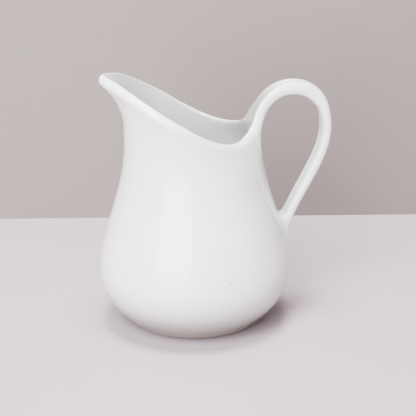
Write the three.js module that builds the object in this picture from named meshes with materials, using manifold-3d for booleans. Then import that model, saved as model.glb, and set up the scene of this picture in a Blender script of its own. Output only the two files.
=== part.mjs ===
// A white porcelain milk jug: a pear-shaped cast body with a swept rim and a drawn-out spout,
// a turned foot ring, and a cast strap handle luted on with slip at its two ends.
// Millimetres, +Z up. The spout points along -X and the handle along +X.
// Every size below is measured from the body's own upright axis.

import * as THREE from "three";
import { mergeVertices } from "three/addons/utils/BufferGeometryUtils.js";
import Module from "manifold-3d";

// Foot and body of revolution.
const footRadius = 28.2;
const footHeight = 1.6;
const footWidth = 3.6;
const footSplay = 1.4;
const bellyRadius = 46;
const bellyHeight = 25.5;
const neckRadius = 32.6;
const neckHeight = 92;
const wall = 3.4;
const undercutRadius = 28.6;
const floorThickness = 3;
const baseRecess = 0.9;

// Rim: the middle of the rounded lip, at the spout, over the sides and at the low saddle.
const spoutReach = 42.6;
const spoutHeight = 123.2;
const shoulderRadius = 36;
const rimSideRadius = 31.2;
const saddleRadius = 27.6;
const saddleHeight = 92.4;
const spoutFlareLength = 25;
const saddleFlareLength = 17;

// Strap handle: the middle of the strap, and its section. The seam with the body and the
// foot of the bow are heights above the saddle.
const seamRise = 6.6;
const bowSpring = 1.2;
const bowRise = 20.5;
const rootSink = 9;
const rootSet = 1.2;
const rootCurveLow = 1.6;
const rootCurveHigh = 17.6;
const bowSquareness = 2;
const bowFarSquareness = 2.2;
const fallDrop = 17;
const tailSweep = 15;
const tailEase = 1.6;
const handleReach = 65.2;
const tailHeight = 42;
const tailStandOff = 0.8;
const tailRun = 7;
const strapWidthRoot = 19;
const strapWidthTop = 10.4;
const strapWidthTail = 9.8;
const strapThickRoot = 6.2;
const strapThickTop = 6.6;
const strapThickTail = 4.6;
const channelDepth = 1.8;
const strapSquareness = 2.5;
const rootShare = 0.09;
const flareShare = 0.18;
const topShare = 0.38;
const tailShare = 0.54;
const channelShare = 0.36;

// Slip joints, and the gap that separate pieces keep.
const slipThickness = 0.8;
const slipProud = 0.4;
const clearance = 0.3;

const aroundBody = 52;
const aroundStrap = 20;

// The height below which every column of the wall is the same.
const commonHeight = 64;

const wasm = await Module();
wasm.setup();

// A closed three.js geometry as a solid, for joins and cuts.
function toSolid(geometry) {
  const bare = new THREE.BufferGeometry();
  bare.setAttribute("position", geometry.getAttribute("position"));
  bare.setIndex(geometry.getIndex());
  const merged = mergeVertices(bare, 1e-4);
  return new wasm.Manifold(
    new wasm.Mesh({
      numProp: 3,
      vertProperties: merged.getAttribute("position").array,
      triVerts: new Uint32Array(merged.getIndex().array),
    }),
  );
}

// A solid back as a three.js geometry.
function toGeometry(solid) {
  const mesh = solid.getMesh();
  const geometry = new THREE.BufferGeometry();
  geometry.setAttribute("position", new THREE.BufferAttribute(mesh.vertProperties, 3));
  geometry.setIndex(new THREE.BufferAttribute(mesh.triVerts, 1));
  geometry.computeVertexNormals();
  return geometry;
}

// Skins a row of rings into one closed surface, each end closed by a fan to its middle.
function loft(rings) {
  const count = rings[0].length;
  const points = rings.flat();
  const faces = [];
  for (let r = 0; r < rings.length - 1; r++) {
    for (let i = 0; i < count; i++) {
      const a = r * count + i;
      const b = r * count + ((i + 1) % count);
      faces.push(a, b, b + count, a, b + count, a + count);
    }
  }
  const first = points.length;
  const lastRing = (rings.length - 1) * count;
  for (const ring of [rings[0], rings[rings.length - 1]]) {
    const middle = new THREE.Vector3();
    ring.forEach((p) => middle.addScaledVector(p, 1 / count));
    points.push(middle);
  }
  for (let i = 0; i < count; i++) {
    const j = (i + 1) % count;
    faces.push(j, i, first);
    faces.push(lastRing + i, lastRing + j, first + 1);
  }
  const geometry = new THREE.BufferGeometry().setFromPoints(points);
  geometry.setIndex(faces);
  geometry.computeVertexNormals();
  return geometry;
}

// An outline of radius and height, turned round the upright axis.
function turned(outline, segments) {
  return new THREE.LatheGeometry(outline, segments).rotateX(Math.PI / 2);
}

// Outer radius of the body of revolution at a height: a full belly that tucks under to the
// undercut radius at the table, and a long easy curve in to the neck.
function outerRadius(z) {
  if (z <= bellyHeight) {
    const down = 1 - z / bellyHeight;
    return bellyRadius - (bellyRadius - undercutRadius) * down ** 2.2;
  }
  const up = Math.min(1, (z - bellyHeight) / (neckHeight - bellyHeight)) ** 0.93;
  return neckRadius + (bellyRadius - neckRadius) * (0.5 + 0.5 * Math.cos(Math.PI * up));
}

// The outer outline from the foot to a height, moved out by a distance along its own normal.
function movedOutline(fromZ, toZ, distance, steps) {
  const outline = [];
  const step = 0.05;
  for (let k = 0; k <= steps; k++) {
    const z = fromZ + ((toZ - fromZ) * k) / steps;
    const slope = (outerRadius(z + step) - outerRadius(z - step)) / (2 * step);
    const length = Math.hypot(1, slope);
    const r = outerRadius(z) + distance / length;
    outline.push(new THREE.Vector2(r, z - (distance * slope) / length));
  }
  return outline;
}

// The middle line of the lip, as a closed curve: a pointed spout, full shoulders, and a low
// saddle whose ends turn up towards the seam with the handle. Each station is an angle from
// the handle, a radius, and a height above the saddle.
function rimCurve() {
  const climb = spoutHeight - saddleHeight;
  const stations = [
    [0, neckRadius - wall / 2, 0.56 * seamRise],
    [14, saddleRadius + 1.6, 0.42 * seamRise],
    [27, saddleRadius, 0.19 * seamRise],
    [46, saddleRadius, 0],
    [68, (saddleRadius + rimSideRadius) / 2 - 0.6, 0.05 * climb],
    [90, rimSideRadius, 0.215 * climb],
    [112, (rimSideRadius + shoulderRadius) / 2 + 0.7, 0.475 * climb],
    [134, shoulderRadius, 0.715 * climb],
    [154, (shoulderRadius + spoutReach) / 2 - 1.6, 0.885 * climb],
    [167, (shoulderRadius + spoutReach) / 2, 0.95 * climb],
    [174, spoutReach - 1.1, 0.985 * climb],
    [180, spoutReach, climb],
  ];
  const side = (sign) =>
    stations.map(([degrees, radius, rise]) => {
      const angle = sign * THREE.MathUtils.degToRad(degrees);
      const x = radius * Math.cos(angle);
      return new THREE.Vector3(x, radius * Math.sin(angle), saddleHeight + rise);
    });
  const loop = [...side(1), ...side(-1).slice(1, -1).reverse()];
  return new THREE.CatmullRomCurve3(loop, true, "centripetal");
}

// One column of the wall, from the foot up its outer face, over the lip and down inside.
function wallColumn(lip) {
  const angle = Math.atan2(lip.y, lip.x);
  const lipRadius = Math.hypot(lip.x, lip.y);
  const towardsSpout = 0.5 - 0.5 * Math.cos(angle);
  const flareLength = THREE.MathUtils.lerp(saddleFlareLength, spoutFlareLength, towardsSpout);
  const lean = lipRadius - (neckRadius - wall / 2);
  const seat = footHeight + clearance;
  const common = movedOutline(seat, commonHeight, -wall / 2, 13);
  const upper = [];
  const upperSteps = 11;
  const start = common[common.length - 1];
  for (let k = 1; k <= upperSteps; k++) {
    const z = THREE.MathUtils.lerp(start.y, lip.z, k / upperSteps);
    const share = Math.max(0, (z - lip.z + flareLength) / flareLength);
    const straight = movedOutline(z, z, -wall / 2, 1)[0].x;
    upper.push(new THREE.Vector2(straight + lean * share ** 2.1, z));
  }
  const middle = [...common, ...upper];
  const faceAt = (k, side) => {
    const ahead = middle[Math.min(k + 1, middle.length - 1)];
    const behind = middle[Math.max(k - 1, 0)];
    const along = ahead.clone().sub(behind).normalize();
    return middle[k].clone().add(new THREE.Vector2(along.y, -along.x).multiplyScalar(side));
  };
  const outer = middle.map((_, k) => faceAt(k, wall / 2));
  const inner = middle.map((_, k) => faceAt(k, -wall / 2)).reverse();
  const top = middle[middle.length - 1];
  const across = outer[outer.length - 1].clone().sub(top);
  const bead = [30, 65, 90, 115, 150].map((degrees) =>
    across.clone().rotateAround(new THREE.Vector2(), THREE.MathUtils.degToRad(degrees)).add(top),
  );
  const underside = seat + baseRecess;
  const inset = footRadius - footWidth;
  const floorTop = underside + floorThickness;
  const base = [
    [inset - 4, underside],
    [inset - 1, seat],
  ].map(([r, z]) => new THREE.Vector2(r, z));
  const lastInner = inner[inner.length - 1];
  const floor = [
    [lastInner.x - 3, floorTop + 0.25],
    [lastInner.x - 8, floorTop],
  ].map(([r, z]) => new THREE.Vector2(r, z));
  return [...base, ...outer, ...bead, ...inner, ...floor].map(
    (p) => new THREE.Vector3(p.x * Math.cos(angle), p.x * Math.sin(angle), p.y),
  );
}

// The cast vessel, without the stub that the handle stands on.
function vesselWall() {
  const columns = rimCurve().getPoints(aroundBody).slice(0, aroundBody).map(wallColumn);
  const rings = columns[0].map((_, r) => columns.map((column) => column[r]));
  return loft(rings);
}

// The middle line of the strap: up out of the neck wall, over an elliptical bow, and down in
// one long curve that ends along the belly.
function strapCurve() {
  const wallX = neckRadius - wall / 2 + 0.1;
  const rootX = wallX - rootSet;
  const bowHeight = saddleHeight + bowSpring;
  const bowHalf = (handleReach - rootX) / 2;
  const bow = [];
  for (let degrees = 180; degrees >= 0; degrees -= 15) {
    const angle = THREE.MathUtils.degToRad(degrees);
    const power = 2 / (degrees < 90 ? bowFarSquareness : bowSquareness);
    const across = Math.sign(Math.cos(angle)) * Math.abs(Math.cos(angle)) ** power;
    const rise = Math.max(0, Math.sin(angle)) ** power;
    bow.push(new THREE.Vector3(rootX + bowHalf * (1 + across), 0, bowHeight + bowRise * rise));
  }
  const tailX = outerRadius(tailHeight) + tailStandOff;
  const fall = new THREE.CubicBezierCurve3(
    new THREE.Vector3(handleReach, 0, bowHeight),
    new THREE.Vector3(handleReach, 0, bowHeight - fallDrop),
    new THREE.Vector3(tailX + tailEase, 0, tailHeight + tailSweep),
    new THREE.Vector3(tailX, 0, tailHeight),
  );
  const root = new THREE.Vector3(wallX, 0, bowHeight - rootSink);
  const end = new THREE.Vector3(tailX - tailStandOff, 0, tailHeight - tailRun);
  const points = [root, ...bow, ...fall.getPoints(8).slice(1), end];
  return new THREE.CatmullRomCurve3(points, false, "centripetal");
}

// A size that eases from the root to the bow by one share of the length, holds over the top,
// and eases on down to the tail.
function taper(t, root, rootEnd, top, tail) {
  const bow = THREE.MathUtils.lerp(root, top, THREE.MathUtils.smoothstep(t, 0, rootEnd));
  return THREE.MathUtils.lerp(bow, tail, THREE.MathUtils.smoothstep(t, topShare, tailShare));
}

// The strap between two places on its middle line, grown by a margin. At the root it swells
// out of the wall and is curved round the neck. Its outer face carries a shallow channel
// there, which runs out at the top of the bow.
function strap(curve, from, to, steps, grow) {
  const inward = new THREE.Vector3(-1, 0, 0);
  const rings = [];
  for (let k = 0; k <= steps; k++) {
    const t = from + ((to - from) * k) / steps;
    const middle = curve.getPointAt(t);
    const along = curve.getTangentAt(t);
    const outward = new THREE.Vector3(-along.z, 0, along.x);
    const fullWidth = taper(t, strapWidthRoot, flareShare, strapWidthTop, strapWidthTail);
    const halfWidth = fullWidth / 2 + grow;
    const fullThick = taper(t, strapThickRoot, flareShare, strapThickTop, strapThickTail);
    const swell = Math.min(1, t / rootShare);
    const halfThick = THREE.MathUtils.lerp(wall, fullThick, swell) / 2 + grow;
    const channel = channelDepth * swell * Math.max(0, 1 - t / channelShare);
    const above = middle.z - saddleHeight;
    const curved = 1 - THREE.MathUtils.smoothstep(above, rootCurveLow, rootCurveHigh);
    const rising = t < flareShare ? curved : 0;
    const ring = [];
    for (let i = 0; i < aroundStrap; i++) {
      const angle = (2 * Math.PI * i) / aroundStrap;
      const power = 2 / strapSquareness;
      const across = Math.sign(Math.cos(angle)) * Math.abs(Math.cos(angle)) ** power;
      const up = Math.sign(Math.sin(angle)) * Math.abs(Math.sin(angle)) ** power;
      const dip = up > 0 ? channel * (1 - across ** 2) ** 2 : 0;
      ring.push(
        middle
          .clone()
          .addScaledVector(new THREE.Vector3(0, 1, 0), halfWidth * across)
          .addScaledVector(outward, halfThick * up - dip)
          .addScaledVector(inward, (rising * (halfWidth * across) ** 2) / (2 * neckRadius)),
      );
    }
    rings.push(ring);
  }
  return loft(rings);
}

// Where the strap's middle line reaches a height on its way up.
function placeAtHeight(curve, height) {
  let t = 0;
  while (curve.getPointAt(t).z < height) t += 0.0005;
  return t;
}

// The belly as a full solid, moved out by a distance: it cuts the handle's foot to fit.
function grownBelly(distance) {
  const outline = movedOutline(bellyHeight, neckHeight - 8, distance, 24);
  const low = outline[0];
  const high = outline[outline.length - 1];
  const closed = [new THREE.Vector2(0, low.y), ...outline, new THREE.Vector2(0, high.y)];
  return toSolid(turned(closed, 120));
}

// The foot ring: a trimmed ring with a narrow flat tread and softened edges.
function footRing() {
  const soft = 0.35;
  const inner = footRadius - footWidth;
  const outline = [
    [inner + soft, 0],
    [footRadius - soft, 0],
    [footRadius, soft],
    [footRadius + footSplay, footHeight],
    [inner - footSplay / 2, footHeight],
    [inner, soft],
    [inner + soft, 0],
  ];
  return turned(
    outline.map(([r, z]) => new THREE.Vector2(r, z)),
    64,
  );
}

const glaze = { color: 0xe9e8e6, roughness: 0.16, metalness: 0 };
const biscuit = { color: 0xd8d3cb, roughness: 0.85, metalness: 0 };

function piece(name, geometry, finish) {
  const mesh = new THREE.Mesh(geometry, new THREE.MeshStandardMaterial(finish));
  mesh.name = name;
  return mesh;
}

const curve = strapCurve();
const strapLength = curve.getLength();
const gapShare = clearance / strapLength;
const slipShare = slipThickness / strapLength;
const seam = placeAtHeight(curve, saddleHeight + seamRise);
const upperSlipStart = seam + gapShare;
const upperSlipEnd = upperSlipStart + slipShare;

const body = toSolid(vesselWall()).add(toSolid(strap(curve, 0, seam, 6, 0)));
const upperSlip = strap(curve, upperSlipStart, upperSlipEnd, 1, slipProud);
const lowerSlip = toSolid(strap(curve, 0.75, 1, 16, slipProud))
  .intersect(grownBelly(clearance + slipThickness))
  .subtract(grownBelly(clearance));
const handle = toSolid(strap(curve, upperSlipEnd + gapShare, 1, 54, 0)).subtract(
  grownBelly(2 * clearance + slipThickness),
);

const jug = new THREE.Group();
jug.add(
  piece("body", toGeometry(body), glaze),
  piece("foot_ring", footRing(), biscuit),
  piece("handle", toGeometry(handle), glaze),
  piece("upper_slip_joint", upperSlip, glaze),
  piece("lower_slip_joint", toGeometry(lowerSlip), glaze),
);

// The origin is under the middle of the whole jug, handle and spout included.
const extent = new THREE.Box3().setFromObject(jug);
jug.position.x = -(extent.min.x + extent.max.x) / 2;

export default jug;
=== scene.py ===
import math

import bpy
import numpy as np
from mathutils import Matrix, Vector


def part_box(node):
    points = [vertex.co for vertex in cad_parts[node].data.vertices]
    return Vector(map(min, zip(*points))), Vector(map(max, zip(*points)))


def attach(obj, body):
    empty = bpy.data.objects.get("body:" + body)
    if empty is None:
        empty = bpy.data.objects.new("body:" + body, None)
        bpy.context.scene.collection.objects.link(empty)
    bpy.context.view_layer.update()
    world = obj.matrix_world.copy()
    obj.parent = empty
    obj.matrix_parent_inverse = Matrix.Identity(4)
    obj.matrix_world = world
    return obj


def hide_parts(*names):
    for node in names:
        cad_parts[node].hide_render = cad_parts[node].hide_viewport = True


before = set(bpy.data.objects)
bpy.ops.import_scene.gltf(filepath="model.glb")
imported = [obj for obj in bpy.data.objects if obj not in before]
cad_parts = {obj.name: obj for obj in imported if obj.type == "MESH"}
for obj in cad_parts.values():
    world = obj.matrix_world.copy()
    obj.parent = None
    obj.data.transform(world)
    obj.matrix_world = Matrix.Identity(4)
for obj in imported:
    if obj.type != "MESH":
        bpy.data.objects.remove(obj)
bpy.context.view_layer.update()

mm = 0.001

# ---------------------------------------------------------------------------------------
# Foot ring. The jug stands on a narrow ring of the same clay, trimmed while it is leather
# hard. The ring is wiped clean of glaze before firing, so it stays bare, dry and matt. Its
# dark brown is partly a stain and partly painted shadow, the contact shadow where it meets the table.
# ---------------------------------------------------------------------------------------
ring_low, ring_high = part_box("foot_ring")
axis_x = (ring_low.x + ring_high.x) / 2
ring_height = ring_high.z
ring_top_radius = ring_high.y
ring_tread_radius = ring_top_radius - 0.0014
ring_width = 0.0036
ring_soft = 0.0005
ring_overlap = 0.0004


def arc(centre, radius, start, stop, steps):
    """Points of an arc in an outline of radius and height."""
    angles = [math.radians(start + (stop - start) * k / steps) for k in range(steps + 1)]
    return [(centre[0] + radius * math.cos(a), centre[1] + radius * math.sin(a)) for a in angles]


def object_of(name, points, faces):
    """A mesh object with smooth faces from points and faces."""
    mesh = bpy.data.meshes.new(name)
    mesh.from_pydata([tuple(p) for p in points], [], faces)
    mesh.polygons.foreach_set("use_smooth", [True] * len(mesh.polygons))
    mesh.update()
    made = bpy.data.objects.new(name, mesh)
    bpy.context.scene.collection.objects.link(made)
    return made


def turned_ring(name, outline, around):
    """A closed outline of radius and height, turned round the jug's own axis."""
    count = len(outline)
    points, faces = [], []
    for i in range(around):
        angle = 2 * math.pi * i / around
        for radius, height in outline:
            points.append((axis_x + radius * math.cos(angle), radius * math.sin(angle), height))
        j = (i + 1) % around
        for k in range(count):
            n = (k + 1) % count
            faces.append((i * count + k, j * count + k, j * count + n, i * count + n))
    return object_of(name, points, faces)


inner = ring_tread_radius - ring_width
ring_outline = [
    *arc((inner + ring_soft, ring_soft), ring_soft, 180, 270, 5),
    *arc((ring_tread_radius - ring_soft, ring_soft), ring_soft, 270, 335, 5),
    (ring_top_radius, ring_height + ring_overlap),
    (inner - ring_soft, ring_height + ring_overlap),
]
foot = turned_ring("foot_ring_bare", ring_outline, 180)


def socket_group(name, inputs, outputs):
    """An empty shader node group with named sockets, its input node and its output node."""
    tree = bpy.data.node_groups.new(name, "ShaderNodeTree")
    for label, kind, value in inputs:
        made = tree.interface.new_socket(label, in_out="INPUT", socket_type=kind)
        made.default_value = value
    for label, kind in outputs:
        tree.interface.new_socket(label, in_out="OUTPUT", socket_type=kind)
    return tree, tree.nodes.new("NodeGroupInput"), tree.nodes.new("NodeGroupOutput")


def node(tree, kind, links=(), **values):
    """A node with its options set, and its inputs set or linked by name or by number."""
    made = tree.nodes.new(kind)
    for key, value in values.items():
        setattr(made, key, value)
    for socket, value in dict(links).items():
        if isinstance(value, bpy.types.NodeSocket):
            tree.links.new(value, made.inputs[socket])
        else:
            made.inputs[socket].default_value = value
    return made


# Mottle: soft cloudy variation, as fired clay and glaze have at two scales.
mottle, mottle_in, mottle_out = socket_group(
    "Fired mottle",
    [
        ("Broad Scale", "NodeSocketFloat", 40.0),
        ("Fine Scale", "NodeSocketFloat", 900.0),
        ("Fine Share", "NodeSocketFloat", 0.3),
    ],
    [("Clouds", "NodeSocketFloat"), ("Grain", "NodeSocketFloat")],
)
place = node(mottle, "ShaderNodeTexCoord").outputs["Object"]
clouds = node(
    mottle,
    "ShaderNodeTexNoise",
    {"Vector": place, "Scale": mottle_in.outputs["Broad Scale"], "Detail": 2.0, "Roughness": 0.5},
)
grain = node(
    mottle,
    "ShaderNodeTexNoise",
    {"Vector": place, "Scale": mottle_in.outputs["Fine Scale"], "Detail": 3.0, "Roughness": 0.6},
)
both = node(
    mottle,
    "ShaderNodeMix",
    {0: mottle_in.outputs["Fine Share"], 2: clouds.outputs["Fac"], 3: grain.outputs["Fac"]},
)
mottle.links.new(both.outputs[0], mottle_out.inputs["Clouds"])
mottle.links.new(grain.outputs["Fac"], mottle_out.inputs["Grain"])


def new_material(name):
    """A material with an empty tree, and its Principled shader joined to the output."""
    made = bpy.data.materials.new(name)
    made.use_nodes = True
    tree = made.node_tree
    tree.nodes.clear()
    shader = tree.nodes.new("ShaderNodeBsdfPrincipled")
    end = tree.nodes.new("ShaderNodeOutputMaterial")
    tree.links.new(shader.outputs["BSDF"], end.inputs["Surface"])
    return made, tree, shader


def placed_group(tree, group, **values):
    """A node group placed in a material, with its inputs set by name."""
    made = tree.nodes.new("ShaderNodeGroup")
    made.node_tree = group
    for key, value in values.items():
        made.inputs[key.replace("_", " ")].default_value = value
    return made


def ramp(tree, value, low, low_colour, high, high_colour):
    """A colour ramp between two places."""
    made = node(tree, "ShaderNodeValToRGB", {"Fac": value})
    made.color_ramp.elements[0].position = low
    made.color_ramp.elements[0].color = (*low_colour, 1)
    made.color_ramp.elements[1].position = high
    made.color_ramp.elements[1].color = (*high_colour, 1)
    return made.outputs["Color"]


biscuit, tree, shader = new_material("bare_biscuit")
fired = placed_group(tree, mottle, Broad_Scale=260.0, Fine_Scale=2600.0, Fine_Share=0.45)
# Painted contact shadow: the dark brown stands partly for a stain and partly for the shade where the foot
# meets the table.
tone = ramp(tree, fired.outputs["Clouds"], 0.35, (0.075, 0.052, 0.04), 0.65, (0.15, 0.11, 0.085))
tree.links.new(tone, shader.inputs["Base Color"])
dry = node(tree, "ShaderNodeMapRange", {"Value": fired.outputs["Grain"], "To Min": 0.7, "To Max": 0.92})
tree.links.new(dry.outputs["Result"], shader.inputs["Roughness"])
tooth = node(
    tree,
    "ShaderNodeBump",
    {"Height": fired.outputs["Grain"], "Strength": 0.35, "Distance": 0.00012},
)
tree.links.new(tooth.outputs["Normal"], shader.inputs["Normal"])

foot.data.materials.append(biscuit)
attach(foot, "root")
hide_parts("foot_ring")

# ---------------------------------------------------------------------------------------
# Body. One slip-cast porcelain wall, full in the belly and drawn in at the neck, with its
# rim cut on a slant from the low saddle up to the spout, its lip left thick and rounded.
# Under the floor a shallow seat takes the foot ring. Its form is held as the distance
# from the middle of the clay, so that the strap can be luted on with a real soft joint.
# ---------------------------------------------------------------------------------------
body_low, body_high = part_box("body")
belly_radius = body_high.y / mm
belly_height = 25.5
undercut_radius = 28.6
neck_radius = 32.6
neck_height = 92
fullness_below, fullness_above = 2.2, 0.93
wall = 3.4
wall_start = 5.0
floor_middle = 4.3
floor_thickness = 3.0
floor_reach = 31.5
floor_fillet = 3
seat_inner, seat_outer = 23.6, 30.9
seat_rounding, seat_fillet = 0.7, 2
seat_low, seat_high = body_low.z / mm, 4.4
saddle_height = 92.4
spout_height = body_high.z / mm - wall / 2
saddle_flare, spout_flare = 17, 25
flare_power = 2.1
bead_at_saddle, bead_at_spout = 0.1, 0.35
bead_length = 8
bead_outward = 0.6
lip_slant = 0.5

# The middle of the lip, from the strap round to the spout: degrees, radius, and height
# above the saddle as a share of the whole climb.
lip_stations = [
    (0, 30.9, 0.12),
    (14, 29.2, 0.09),
    (27, 27.6, 0.041),
    (46, 27.6, 0),
    (68, 28.8, 0.05),
    (90, 31.2, 0.215),
    (112, 34.3, 0.475),
    (134, 36.0, 0.715),
    (154, 37.7, 0.885),
    (167, 39.3, 0.95),
    (174, 41.5, 0.985),
    (180, 42.6, 1),
]


def smooth(share):
    """Eases from 0 to 1."""
    share = np.clip(share, 0, 1)
    return share * share * (3 - 2 * share)


def mirrored_curve(stops, values):
    """A smooth curve through values at stops of 0 to 180 degrees, alike on both sides of each end."""
    stops = np.array([-stops[1], *stops, 360 - stops[-2]], float)
    values = np.array([values[1], *values, values[-2]], float)
    slopes = np.gradient(values, stops)

    def read(at):
        place = np.clip(np.searchsorted(stops, at) - 1, 0, len(stops) - 2)
        gap = stops[place + 1] - stops[place]
        t = (at - stops[place]) / gap
        rise = values[place + 1] - values[place]
        leave, arrive = slopes[place] * gap, slopes[place + 1] * gap
        ease = t * t * (3 - 2 * t)
        return values[place] + rise * ease + t * (1 - t) * ((1 - t) * leave - t * arrive)

    return read


lip_degrees = [station[0] for station in lip_stations]
lip_radius = mirrored_curve(lip_degrees, [station[1] for station in lip_stations])
lip_climb = mirrored_curve(lip_degrees, [station[2] for station in lip_stations])


def outer_radius(z):
    """Radius of the turned body at a height."""
    down = np.clip(1 - z / belly_height, 0, 1)
    up = np.clip((z - belly_height) / (neck_height - belly_height), 0, 1) ** fullness_above
    low = belly_radius - (belly_radius - undercut_radius) * down**fullness_below
    high = neck_radius + (belly_radius - neck_radius) * (0.5 + 0.5 * np.cos(np.pi * up))
    return np.where(z < belly_height, low, high)


# The turned body's own middle line, half a wall inside its outline.
outline_z = np.linspace(-4, 135, 1400)
outline_r = outer_radius(outline_z)
outline_slope = np.gradient(outline_r, outline_z)
outline_length = np.hypot(1, outline_slope)
middle_z = outline_z + wall / 2 * outline_slope / outline_length
middle_r = outline_r - wall / 2 / outline_length
middle_slope = np.gradient(middle_r, middle_z)


def wall_distance(points):
    """Distance in mm from points to the body's surface, negative inside the clay."""
    r, z = np.hypot(points[:, 0], points[:, 1]), points[:, 2]
    degrees = np.degrees(np.abs(np.arctan2(points[:, 1], points[:, 0])))
    bead = bead_at_saddle + (bead_at_spout - bead_at_saddle) * smooth((degrees - 60) / 120)
    lip_z = saddle_height + (spout_height - saddle_height) * lip_climb(degrees) - bead
    lean = lip_radius(degrees) - bead_outward * bead - (neck_radius - wall / 2)
    flare = saddle_flare + (spout_flare - saddle_flare) * (0.5 - 0.5 * np.cos(np.radians(degrees)))

    def line(at):
        share = np.clip((at - lip_z + flare) / flare, 0, 1)
        radius = np.interp(at, middle_z, middle_r) + lean * share**flare_power
        slope = np.interp(at, middle_z, middle_slope)
        return radius, slope + lean * flare_power * share ** (flare_power - 1) / flare

    # The lip's top falls away outwards, so that its inner edge is the crisper one.
    lip_half = wall / 2 + bead
    across_lip = np.clip(r - line(lip_z)[0], -lip_half, lip_half)
    top = lip_z - lip_slant * across_lip - lip_half * (math.hypot(1, lip_slant) - 1)
    nearest = np.clip(z, wall_start, top)
    for _ in range(5):
        radius, slope = line(nearest)
        step = (z - nearest + (r - radius) * slope) / (1 + slope * slope)
        nearest = np.clip(nearest + step, wall_start, top)
    radius, slope = line(nearest)
    thick = wall / 2 + bead * smooth((nearest - lip_z + bead_length) / bead_length)
    side = np.hypot(r - radius, z - nearest) - thick
    floor = np.hypot(np.maximum(r - floor_reach, 0), z - floor_middle) - floor_thickness / 2
    across = np.abs(r - (seat_inner + seat_outer) / 2) - (seat_outer - seat_inner) / 2 + seat_rounding
    upright = np.abs(z - (seat_low + seat_high) / 2) - (seat_high - seat_low) / 2 + seat_rounding
    seat = np.hypot(np.maximum(across, 0), np.maximum(upright, 0)) - seat_rounding
    return blended(blended(side, floor, floor_fillet), seat, seat_fillet)


def blended(a, b, width):
    """Joins two distances with a soft fillet."""
    share = np.clip(0.5 + 0.5 * (b - a) / width, 0, 1)
    return b + (a - b) * share - width * share * (1 - share)


# ---------------------------------------------------------------------------------------
# Strap handle. A flat ribbon of clay cast apart and luted on at both ends: it carries on
# from the raised back of the rim, whose two rolled edges run up it with a shallow channel
# between, goes over in a high bow, and comes down to lie along the belly.
# ---------------------------------------------------------------------------------------
handle_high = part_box("handle")[1]
root_x = 29.7
root_low = 84.6
bow_height = 93.6
bow_reach = 65.0
bow_rise = 20.5
fall_drop = 17
tail_height = 42
tail_x = float(outer_radius(np.array(tail_height))) + 0.8
tail_ease = 1.6
tail_sweep = 15
# Half width, half thickness and channel depth at shares of the strap's length.
width_stops = ([0, 0.08, 0.18, 0.62, 1], [10.2, 9.4, 5.1, 4.9, 4.9])
thick_stops = ([0, 0.1, 0.2, 0.38, 0.48, 0.58, 0.93, 1], [0.9, 3.1, 3.3, 3.3, 2.4, 2.3, 2.1, 1.2])
channel_stops = ([0, 0.1, 0.22, 0.36], [1.9, 1.9, 1.4, 0])
edge_roundness = 0.86
crown = 0.12
bow_squareness = 1.96
bow_far_squareness = 2.22
root_curve_low, root_curve_high = 94, 110
root_fillet, tail_fillet = 2.8, 6.0
# The strap lies in this room, and counts as far away outside it.
room_from_x, room_half_width, room_from_z = 15, 16, 25
far_away = 30.0


def strap_line():
    """The strap's middle line in x and z, in even steps of a quarter of a millimetre."""
    turn = np.radians(np.linspace(180, 0, 120))
    far_side = np.cos(turn) > 0
    fullness = 2 / np.where(far_side, bow_far_squareness, bow_squareness)
    across, rise = np.abs(np.cos(turn)) ** fullness, np.sin(turn).clip(0, 1) ** fullness
    bow_x = (root_x + bow_reach) / 2 + (bow_reach - root_x) / 2 * np.where(far_side, across, -across)
    bow_z = bow_height + bow_rise * rise
    t = np.linspace(0, 1, 100)[1:, None]
    ends = [
        np.array((bow_reach, bow_height)),
        np.array((bow_reach, bow_height - fall_drop)),
        np.array((tail_x + tail_ease, tail_height + tail_sweep)),
        np.array((tail_x, tail_height)),
    ]
    fall = (1 - t) ** 3 * ends[0] + 3 * t * (1 - t) ** 2 * ends[1]
    fall = fall + 3 * t * t * (1 - t) * ends[2] + t**3 * ends[3]
    line = np.vstack(
        [
            [(root_x + 1.2, root_low), (root_x + 0.6, (root_low + bow_height) / 2)],
            np.stack([bow_x, bow_z], 1),
            fall,
            [(tail_x - 0.3, tail_height - 3), (tail_x - 1.1, tail_height - 7)],
        ]
    )
    along = np.concatenate([[0], np.cumsum(np.linalg.norm(np.diff(line, axis=0), axis=1))])
    even = np.arange(0, along[-1], 0.25)
    return np.stack([np.interp(even, along, line[:, k]) for k in range(2)], 1), even


strap_points, strap_along = strap_line()
strap_length = strap_along[-1]
spread = np.ones(9) / 9
strap_ahead = np.gradient(strap_points, axis=0)
padded = np.pad(strap_ahead, ((4, 4), (0, 0)), "edge")
strap_ahead = np.stack([np.convolve(padded[:, k], spread, "valid") for k in (0, 1)], 1)
strap_ahead /= np.linalg.norm(strap_ahead, axis=1)[:, None]


def eased(share, stops):
    """A size at a share of the strap, eased from stop to stop."""
    places, sizes = stops
    found = np.full(share.shape, float(sizes[0]))
    for a, b, low, high in zip(places, places[1:], sizes, sizes[1:]):
        found += (high - low) * smooth((share - a) / (b - a))
    return found


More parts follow.
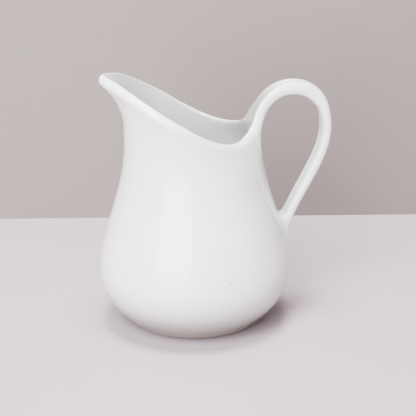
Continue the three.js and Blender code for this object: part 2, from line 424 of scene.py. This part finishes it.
def strap_distance(points):
    """Distance in mm from points to the strap's surface, and how far along it they lie."""
    distance = np.full(len(points), far_away)
    along = np.zeros(len(points))
    beside = np.abs(points[:, 1]) < room_half_width
    near = np.flatnonzero(beside & (points[:, 0] > room_from_x) & (points[:, 2] > room_from_z))
    for part in np.array_split(near, max(1, len(near) // 4000)):
        x, y, z = points[part].T
        # At its root the strap is curved round the neck.
        up_root = (z - root_curve_low) / (root_curve_high - root_curve_low)
        x = x + y * y / (2 * neck_radius) * (1 - smooth(up_root))
        gap = (x[:, None] - strap_points[:, 0]) ** 2 + (z[:, None] - strap_points[:, 1]) ** 2
        place = gap.argmin(axis=1)
        ahead = strap_ahead[place]
        offset = np.stack([x, z], 1) - strap_points[place]
        past = (offset * ahead).sum(1)
        at = np.clip(strap_along[place] + past, 0, strap_length)
        ahead = np.stack([np.interp(at, strap_along, strap_ahead[:, k]) for k in (0, 1)], 1)
        centre = np.stack([np.interp(at, strap_along, strap_points[:, k]) for k in (0, 1)], 1)
        offset = np.stack([x, z], 1) - centre
        over = (offset * ahead).sum(1)
        outward = offset[:, 1] * ahead[:, 0] - offset[:, 0] * ahead[:, 1]
        share = at / strap_length
        half_width, half_thick = eased(share, width_stops), eased(share, thick_stops)
        side = np.clip(np.abs(y) / half_width, 0, 1)
        hollow = eased(share, channel_stops) * (1 - side * side) ** 2
        thick = np.abs(outward) + np.where(outward > 0, hollow, 0) + crown * side * side
        rounding = edge_roundness * half_thick
        a = np.abs(y) - half_width + rounding
        b = thick - half_thick + rounding
        flat = np.hypot(np.maximum(a, 0), np.maximum(b, 0)) + np.minimum(np.maximum(a, b), 0) - rounding
        distance[part] = np.where(np.abs(over) > 0.05, np.hypot(np.maximum(flat, 0), over), flat)
        along[part] = at
    return distance, along


# ---------------------------------------------------------------------------------------
# Luted joints. Slip and a wet sponge turn the two seams into soft fillets, one where the
# strap leaves the rim and one where its tail lies along the belly. The whole white form
# is drawn as one skin here and then parted at the seams into the four pieces it is
# made of, each closed, with the skin's own shading running on across the seams.
# ---------------------------------------------------------------------------------------
skin_step = 0.8
coarse = 4
seam_height = 99.0
joint_depth = 1.2
tail_joint_spread = 0.74
halfway = 75


def skin_distance(points):
    """Distance in mm from points to the whole fused form."""
    strap, _ = strap_distance(points)
    fillet = np.where(points[:, 2] > halfway, root_fillet, tail_fillet)
    return blended(wall_distance(points), strap, fillet)


def in_parts(function, points):
    """Works a distance out over many points, a part at a time."""
    parts = np.array_split(points, max(1, len(points) // 200000))
    return np.concatenate([function(part) for part in parts])


def sampled_field():
    """The distance on an even lattice, worked out only near the clay."""
    low = np.array([-belly_radius, -belly_radius, 0]) - 4.4
    high = np.array([handle_high.x / mm - axis_x / mm, belly_radius, spout_height]) + 5
    cells = np.ceil((high - low) / (skin_step * coarse)).astype(int)
    wide = low + (np.indices(cells).reshape(3, -1).T + 0.5) * skin_step * coarse
    close = in_parts(skin_distance, wide) < skin_step * coarse
    close = close.reshape(cells)
    for axis in range(3):
        close = np.repeat(close, coarse, axis=axis)
    spots = np.argwhere(close)
    field = np.full(close.shape, 5.0)
    field[close] = in_parts(skin_distance, low + (spots + 0.5) * skin_step)
    return field, low + 0.5 * skin_step


def skin_of(field, low):
    """Points and quads of the surface where the field passes zero."""
    shape = np.array(field.shape) - 1
    total, count = np.zeros((*shape, 3)), np.zeros(shape)
    crossings = []
    for axis in range(3):
        first = np.take(field, range(shape[axis]), axis=axis)
        second = np.take(field, range(1, shape[axis] + 1), axis=axis)
        spots = np.argwhere((first < 0) != (second < 0))
        a, b = first[tuple(spots.T)], second[tuple(spots.T)]
        place = spots.astype(float)
        place[:, axis] += a / (a - b)
        others = [(axis + 1) % 3, (axis + 2) % 3]
        corners = []
        for back in ((0, 0), (1, 0), (1, 1), (0, 1)):
            cell = spots.copy()
            cell[:, others[0]] -= back[0]
            cell[:, others[1]] -= back[1]
            np.add.at(total, tuple(cell.T), place)
            np.add.at(count, tuple(cell.T), 1)
            corners.append(cell)
        crossings.append((corners, a < 0))
    number = np.full(shape, -1)
    used = count > 0
    number[used] = np.arange(used.sum())
    quads = []
    for corners, forward in crossings:
        quad = np.stack([number[tuple(cell.T)] for cell in corners], 1)
        quads.append(np.where(forward[:, None], quad, quad[:, ::-1]))
    return low + skin_step * total[used] / count[used][:, None], np.vstack(quads)


def drawn_to_skin(points):
    """Moves points onto the true surface."""
    nudge = 0.02
    for _ in range(3):
        off = in_parts(skin_distance, points)
        slope = np.zeros_like(points)
        for axis in range(3):
            beside = points.copy()
            beside[:, axis] += nudge
            slope[:, axis] = (in_parts(skin_distance, beside) - off) / nudge
        push = off / np.maximum((slope**2).sum(1), 0.3)
        points = points - np.clip(push, -0.5, 0.5)[:, None] * slope
    return points


skin_points, skin_quads = skin_of(*sampled_field())
skin_points = drawn_to_skin(skin_points)


def skin_normals(points, quads):
    """Normals at the skin's points, from the quads around them."""
    corner = points[quads]
    facing = np.cross(corner[:, 2] - corner[:, 0], corner[:, 3] - corner[:, 1])
    total = np.zeros_like(points)
    for k in range(4):
        np.add.at(total, quads[:, k], facing)
    return total / np.linalg.norm(total, axis=1)[:, None]


shading = skin_normals(skin_points, skin_quads)

# How far each point lies past the seams: below 0 is body, above the joint's depth is strap.
strap_near, strap_place = strap_distance(skin_points)
seam_place = strap_along[np.flatnonzero(strap_points[:, 1] > seam_height)[0]]
wall_near = wall_distance(skin_points)
upper_past = np.where(strap_near < 6, strap_place - seam_place, -9)
lower_past = (wall_near - strap_near) / (tail_joint_spread * tail_fillet) * joint_depth + 0.5 * joint_depth
past_seam = np.where(skin_points[:, 2] > halfway, upper_past, lower_past)


def parted(points, normals, past, faces, level):
    """Cuts the faces that cross a level, so that each lies on one side of it."""
    points, normals, past = list(points), list(normals), list(past)
    whole, cuts = [], {}

    def cut(a, b):
        key = (min(a, b), max(a, b))
        if key not in cuts:
            share = (level - past[key[0]]) / (past[key[1]] - past[key[0]])
            cuts[key] = len(points)
            points.append(points[key[0]] + share * (points[key[1]] - points[key[0]]))
            normals.append(normals[key[0]] + share * (normals[key[1]] - normals[key[0]]))
            past.append(level)
        return cuts[key]

    for face in faces:
        if len({past[v] > level for v in face if past[v] != level}) < 2:
            whole.append(face)
            continue
        for corners in [(face[0], face[k], face[k + 1]) for k in range(1, len(face) - 1)]:
            above, below = [], []
            for a, b in zip(corners, corners[1:] + corners[:1]):
                if past[a] >= level:
                    above.append(a)
                if past[a] <= level:
                    below.append(a)
                if (past[a] - level) * (past[b] - level) < 0:
                    above.append(cut(a, b))
                    below.append(cut(a, b))
            whole += [tuple(side) for side in (above, below) if len(side) > 2]
    return points, normals, past, whole


skin = (skin_points, shading, past_seam, [tuple(quad) for quad in skin_quads.tolist()])
for seam_level in (0, joint_depth):
    skin = parted(*skin, seam_level)
skin_points, shading, past_seam, skin_faces = skin


def closing_faces(faces, points):
    """Fans that close a piece's open ends, each round a new point in its middle."""
    edges = {(a, b) for face in faces for a, b in zip(face, face[1:] + face[:1])}
    follow = {b: a for a, b in edges if (b, a) not in edges}
    caps = []
    while follow:
        start, spot = follow.popitem()
        loop = [start]
        while spot != start:
            loop.append(spot)
            spot = follow.pop(spot)
        points.append(np.mean([points[v] for v in loop], axis=0))
        caps += [(a, b, len(points) - 1) for a, b in zip(loop, loop[1:] + loop[:1])]
    return caps


def piece_of(name, faces):
    """One closed piece of the skin, keeping the skin's shading where it shows."""
    points = list(skin_points)
    caps = closing_faces(faces, points)
    used = sorted({v for face in faces + caps for v in face})
    number = {v: k for k, v in enumerate(used)}
    placed = np.array([points[v] for v in used]) * mm + np.array([axis_x, 0, 0])
    made = object_of(name, placed, [tuple(number[v] for v in face) for face in faces + caps])
    normals = [tuple(shading[v]) for face in faces for v in face]
    for face in caps:
        a, b, c = (points[v] for v in face)
        flat = np.cross(b - a, c - a)
        normals += [tuple(flat / max(np.linalg.norm(flat), 1e-12))] * 3
    made.data.normals_split_custom_set(normals)
    return made


kinds = {"body_porcelain": [], "upper_joint": [], "strap_handle": [], "lower_joint": []}
for face in skin_faces:
    past = sum(past_seam[v] for v in face) / len(face)
    high = sum(skin_points[v][2] for v in face) / len(face) > halfway
    joint = "upper_joint" if high else "lower_joint"
    kind = "body_porcelain" if past < 0 else "strap_handle" if past > joint_depth else joint
    kinds[kind].append(face)
jug = {name: piece_of(name, faces) for name, faces in kinds.items()}

# Clear feldspathic glaze over white porcelain, fired glossy.
glaze, tree, shader = new_material("white_glaze")
fired = placed_group(tree, mottle, Broad_Scale=34.0, Fine_Scale=420.0, Fine_Share=0.25)
tone = ramp(tree, fired.outputs["Clouds"], 0.3, (0.79, 0.79, 0.785), 0.7, (0.82, 0.82, 0.82))
# Painted shade: towards the foot the outer wall is painted darker and warmer, standing in for the dim light
# low on the belly.
place = node(tree, "ShaderNodeTexCoord").outputs["Object"]
height = node(tree, "ShaderNodeSeparateXYZ", {"Vector": place}).outputs["Z"]
wander = node(
    tree,
    "ShaderNodeMath",
    {0: fired.outputs["Clouds"], 1: 0.004, 2: height},
    operation="MULTIPLY_ADD",
)
painted_foot_shade = node(
    tree,
    "ShaderNodeMapRange",
    {"Value": wander.outputs[0], "From Min": 0.003, "From Max": 0.036, "To Min": 1, "To Max": 0},
    interpolation_type="SMOOTHSTEP",
)
# The painted shade falls on the outer wall only, which faces away from the jug's axis: the floor keeps
# its full colour, above and below.
facing = node(tree, "ShaderNodeNewGeometry").outputs["Normal"]
from_axis = node(tree, "ShaderNodeVectorMath", {0: place, 1: (axis_x, 0, 0)}, operation="SUBTRACT")
level = node(
    tree,
    "ShaderNodeVectorMath",
    {0: from_axis.outputs["Vector"], 1: (1, 1, 0)},
    operation="MULTIPLY",
)
outward = node(tree, "ShaderNodeVectorMath", {0: level.outputs["Vector"]}, operation="NORMALIZE")
turned_out = node(
    tree,
    "ShaderNodeVectorMath",
    {0: outward.outputs["Vector"], 1: facing},
    operation="DOT_PRODUCT",
)
outside = node(
    tree,
    "ShaderNodeMapRange",
    {"Value": turned_out.outputs["Value"], "From Min": 0.1, "From Max": 0.4},
    interpolation_type="SMOOTHSTEP",
)
painted_base_shade = node(
    tree,
    "ShaderNodeMath",
    {0: painted_foot_shade.outputs["Result"], 1: outside.outputs["Result"]},
    operation="MULTIPLY",
)
# Painted shade: the glaze colour is mixed towards a dark warm grey low on the outer wall.
base_shaded = node(
    tree,
    "ShaderNodeMix",
    {"Factor": painted_base_shade.outputs[0], "A": tone, "B": (0.14, 0.115, 0.1, 1)},
    data_type="RGBA",
)
# Painted shade: inside, the wall is painted a cooler, darker grey, standing in for the shade inside the
# mouth.
inside = node(
    tree,
    "ShaderNodeMapRange",
    {"Value": turned_out.outputs["Value"], "From Min": -0.75, "From Max": -0.1, "To Min": 1, "To Max": 0},
    interpolation_type="SMOOTHSTEP",
)
inside_shaded = node(
    tree,
    "ShaderNodeMix",
    {"Factor": inside.outputs["Result"], "A": base_shaded.outputs["Result"], "B": (0.58, 0.605, 0.595, 1)},
    data_type="RGBA",
)
# Painted shade, darkest in the corner where the strap's channel runs into the wall.
corner = node(
    tree,
    "ShaderNodeVectorMath",
    {0: place, 1: (axis_x + 0.030, 0, 0.099)},
    operation="DISTANCE",
)
corner_shade_mask = node(
    tree,
    "ShaderNodeMapRange",
    {"Value": corner.outputs["Value"], "From Min": 0.008, "From Max": 0.03, "To Min": 1, "To Max": 0},
    interpolation_type="SMOOTHSTEP",
)
corner_shade = node(
    tree,
    "ShaderNodeMath",
    {0: corner_shade_mask.outputs["Result"], 1: inside.outputs["Result"]},
    operation="MULTIPLY",
)
corner_shaded = node(
    tree,
    "ShaderNodeMix",
    {"Factor": corner_shade.outputs[0], "A": inside_shaded.outputs["Result"], "B": (0.27, 0.28, 0.268, 1)},
    data_type="RGBA",
)
# Iron in the clay shows as a rare grey pinprick under the glaze, and one larger speck lies
# low on the front of the belly.
pinprick = node(tree, "ShaderNodeTexVoronoi", {"Vector": place, "Scale": 60.0})
pinpricks = node(
    tree,
    "ShaderNodeMapRange",
    {"Value": pinprick.outputs["Distance"], "From Min": 0.006, "From Max": 0.018, "To Min": 0.7, "To Max": 0},
)
speck = node(
    tree,
    "ShaderNodeVectorMath",
    {0: place, 1: (axis_x + 0.00943, -0.04435, 0.0337)},
    operation="DISTANCE",
)
specks = node(
    tree,
    "ShaderNodeMapRange",
    {"Value": speck.outputs["Value"], "From Min": 0.0003, "From Max": 0.0006, "To Min": 0.75, "To Max": 0},
)
spots = node(
    tree,
    "ShaderNodeMath",
    {0: pinpricks.outputs["Result"], 1: specks.outputs["Result"]},
    operation="MAXIMUM",
)
flecked = node(
    tree,
    "ShaderNodeMix",
    {"Factor": spots.outputs[0], "A": corner_shaded.outputs["Result"], "B": (0.12, 0.12, 0.115, 1)},
    data_type="RGBA",
)
tree.links.new(flecked.outputs["Result"], shader.inputs["Base Color"])
polish = node(tree, "ShaderNodeMapRange", {"Value": fired.outputs["Clouds"], "To Min": 0.10, "To Max": 0.2})
tree.links.new(polish.outputs["Result"], shader.inputs["Roughness"])
shader.inputs["IOR"].default_value = 1.56
ripple = node(
    tree,
    "ShaderNodeBump",
    {"Height": fired.outputs["Clouds"], "Strength": 0.12, "Distance": 0.0006},
)
tree.links.new(ripple.outputs["Normal"], shader.inputs["Normal"])

for piece_name, replaced in (
    ("body_porcelain", "body"),
    ("upper_joint", "upper_slip_joint"),
    ("strap_handle", "handle"),
    ("lower_joint", "lower_slip_joint"),
):
    piece = jug[piece_name]
    piece.data.materials.append(glaze)
    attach(piece, "root")
    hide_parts(replaced)

# ---------------------------------------------------------------------------------------
# Table and wall. A pale table top and a plain wall close behind it, neither part of the
# jug. The wall shows its front only, so it never stands between the jug and the camera.
# ---------------------------------------------------------------------------------------
table_half = 1.6
wall_gap = 0.141
wall_turn = math.radians(-10)
wall_height = 1.4


def plain_sheet(name, corners):
    """A flat four-cornered sheet."""
    return object_of(name, corners, [(0, 1, 2, 3)])


def wall_point(along, height):
    """A point of the wall's face, so far along it from behind the jug."""
    return (
        axis_x + along * math.cos(wall_turn) - wall_gap * math.sin(wall_turn),
        along * math.sin(wall_turn) + wall_gap * math.cos(wall_turn),
        height,
    )


table = plain_sheet(
    "table_top",
    [
        (-table_half, -table_half, 0),
        (table_half, -table_half, 0),
        (table_half, table_half, 0),
        (-table_half, table_half, 0),
    ],
)
back_wall = plain_sheet(
    "back_wall",
    [
        wall_point(-table_half, 0),
        wall_point(table_half, 0),
        wall_point(table_half, wall_height),
        wall_point(-table_half, wall_height),
    ],
)
painted = {}
for sheet, low_tone, high_tone in (
    (table, (0.385, 0.317, 0.35), (0.42, 0.351, 0.385)),
    (back_wall, (0.165, 0.136, 0.131), (0.18, 0.15, 0.145)),
):
    paint, tree, shader = new_material(sheet.name + "_paint")
    fired = placed_group(tree, mottle, Broad_Scale=3.0, Fine_Scale=60.0, Fine_Share=0.2)
    tone = ramp(tree, fired.outputs["Clouds"], 0.3, low_tone, 0.7, high_tone)
    tree.links.new(tone, shader.inputs["Base Color"])
    shader.inputs["Roughness"].default_value = 0.6
    sheet.data.materials.append(paint)
    painted[sheet.name] = (tree, shader)

# The back of the wall is clear.
tree, shader = painted["back_wall"]
facing = node(tree, "ShaderNodeNewGeometry").outputs["Backfacing"]
clear = node(tree, "ShaderNodeBsdfTransparent")
seen = node(tree, "ShaderNodeMixShader", {0: facing, 1: shader.outputs["BSDF"], 2: clear.outputs["BSDF"]})
end = next(spot for spot in tree.nodes if spot.type == "OUTPUT_MATERIAL")
tree.links.new(seen.outputs["Shader"], end.inputs["Surface"])

# ---------------------------------------------------------------------------------------
# Light. A broad soft window to the left and front, a smaller soft light above it, one
# overhead that falls on the rounded rim, and an even pale room.
# ---------------------------------------------------------------------------------------
middle = Vector((axis_x, 0, 0.07))
warm_white = (1, 0.99, 0.98)


def studio_light(name, turn, lift, distance, size, watts):
    """A square soft light round the jug: degrees from square on, degrees up, metres away."""
    turn, lift = math.radians(turn), math.radians(lift)
    away = Vector((math.sin(turn) * math.cos(lift), -math.cos(turn) * math.cos(lift), math.sin(lift)))
    lamp = bpy.data.lights.new(name, "AREA")
    lamp.shape = "RECTANGLE"
    lamp.size = lamp.size_y = size
    lamp.energy = watts
    lamp.color = warm_white
    made = bpy.data.objects.new(name, lamp)
    bpy.context.scene.collection.objects.link(made)
    made.location = middle + distance * away
    made.rotation_euler = away.to_track_quat("Z", "Y").to_euler()


studio_light("window", -34, 16, 1.4, 1.1, 66)
studio_light("upper_left", -32, 48, 1.3, 0.5, 35)
studio_light("overhead", 0, 88, 1.3, 0.45, 50)

world = bpy.data.worlds.new("room")
bpy.context.scene.world = world
world.use_nodes = True
room = world.node_tree.nodes["Background"]
room.inputs["Color"].default_value = (1, 0.985, 0.975, 1)
room.inputs["Strength"].default_value = 0.07

# ---------------------------------------------------------------------------------------
# Camera, a little to the left of square on and looking down into the mouth.
# ---------------------------------------------------------------------------------------
view_turn, view_lift, view_roll = math.radians(9), math.radians(19.5), math.radians(-0.973)
view_distance = 0.700
lens = 125.58
aim = Vector((axis_x, 0, 0.060))
back = Vector(
    (
        -math.sin(view_turn) * math.cos(view_lift),
        -math.cos(view_turn) * math.cos(view_lift),
        math.sin(view_lift),
    )
)
right = (-back).cross(Vector((0, 0, 1))).normalized()
upward = right.cross(-back)
side = right * math.cos(view_roll) + upward * math.sin(view_roll)
over = upward * math.cos(view_roll) - right * math.sin(view_roll)
camera_data = bpy.data.cameras.new("camera")
camera_data.lens = lens
camera_data.sensor_width = 36
camera_data.shift_x = 0.0344
camera_data.shift_y = -0.0177
camera_data.clip_start = 0.01
camera = bpy.data.objects.new("camera", camera_data)
bpy.context.scene.collection.objects.link(camera)
turned = Matrix((side, over, back)).transposed().to_4x4()
camera.matrix_world = Matrix.Translation(aim + back * view_distance) @ turned
bpy.context.scene.camera = camera
